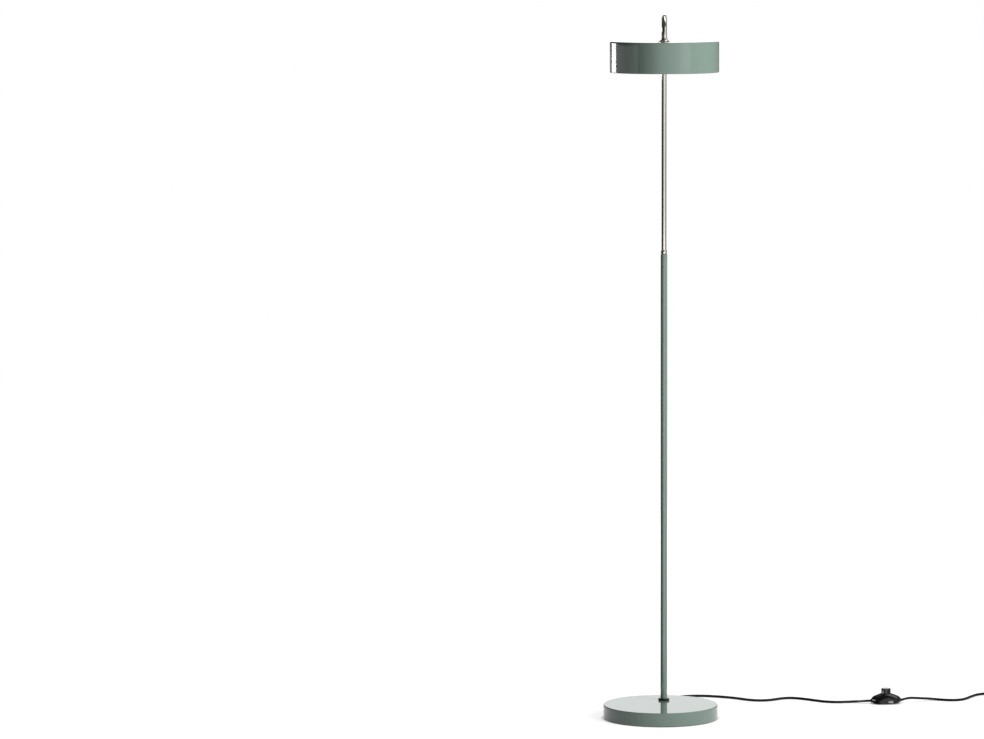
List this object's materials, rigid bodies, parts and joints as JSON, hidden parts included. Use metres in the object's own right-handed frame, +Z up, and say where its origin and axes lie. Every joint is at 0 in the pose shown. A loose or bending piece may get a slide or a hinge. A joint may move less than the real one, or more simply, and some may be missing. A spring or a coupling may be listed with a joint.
{
  "type": "floor lamp",
  "caption": "Floor lamp with a round weighted base, a telescoping stem, a crook arm that swivels and carries a drum shade, and a foot switch on its cord.",
  "frame": {"origin": "centre of the round base's underside, on the floor", "axes": "+Z up along the stem; the arm reaches from the stem towards -Y, the front; +X to the right"},
  "size_m": [0.8985, 0.4993, 1.443],
  "materials": {
    "green_paint": "glossy sage green paint",
    "polished_nickel": "polished nickel, warm",
    "dark_collar": "black, satin",
    "iron": "as cast, primed",
    "pad_foam": "dense foam, matt",
    "zinc_steel": "zinc plated",
    "brass": "machined",
    "cord_black": "smooth black sheath",
    "black_plastic": "black, satin",
    "nylon": "natural nylon",
    "white_plastic": "white, smooth",
    "opal": "opal, smooth"
  },
  "bodies": {
    "lamp_stand": {"base_cover": "green_paint", "base_weight": "iron", "base_pad": "pad_foam", "foot_collar": "dark_collar", "stem_tube": "green_paint", "stem_insert": "zinc_steel", "stem_nipple": "brass", "stem_nut": "brass", "lock_washer": "zinc_steel", "stem_ferrule": "polished_nickel", "base_lead": "cord_black", "stem_lead": "cord_black", "cord_gland": "black_plastic", "switch_base": "black_plastic", "switch_cover": "black_plastic", "switch_spring": "zinc_steel", "switch_core": "nylon", "switch_terminals": "brass", "switch_screws": "zinc_steel", "cord_lamp_side": "cord_black", "cord_plug_side": "cord_black", "cord_coil": "cord_black", "cord_tail": "cord_black", "cord_tie": "black_plastic", "plug_relief": "black_plastic", "plug_body": "black_plastic", "plug_pins": "polished_nickel"},
    "slider": {"height_slider": "nylon"},
    "arm": {"arm_tube": "polished_nickel", "swivel_screw": "brass", "arm_lead": "cord_black", "shade_collar": "polished_nickel", "shade_nipple": "brass", "shade_washer": "zinc_steel", "shade_nut": "brass", "shade_drum": "green_paint", "lamp_bracket": "zinc_steel", "lamp_holder": "white_plastic", "holder_contacts": "brass", "holder_screws": "zinc_steel", "lamp_body": "white_plastic", "lamp_opal": "opal"},
    "foot_button": {"switch_button": "black_plastic"}
  },
  "joints": [
    {"name": "height_slide", "type": "slide", "parent": "lamp_stand", "child": "slider", "axis": [0, 0, 1], "range_m": [-0.3, 0.05], "deforming": ["stem_lead"]},
    {"name": "arm_swivel", "type": "hinge", "parent": "slider", "child": "arm", "pos_m": [0.007, 0.049, 0.87], "axis": [0, 0, 1], "range_deg": [-170, 170]},
    {"name": "button_press", "type": "slide", "parent": "lamp_stand", "child": "foot_button", "axis": [0, 0, -1], "range_m": [0, 0.003], "stiffness_N_per_m": 2000, "springref_m": -0.002, "deforming": ["switch_spring"]}
  ]
}
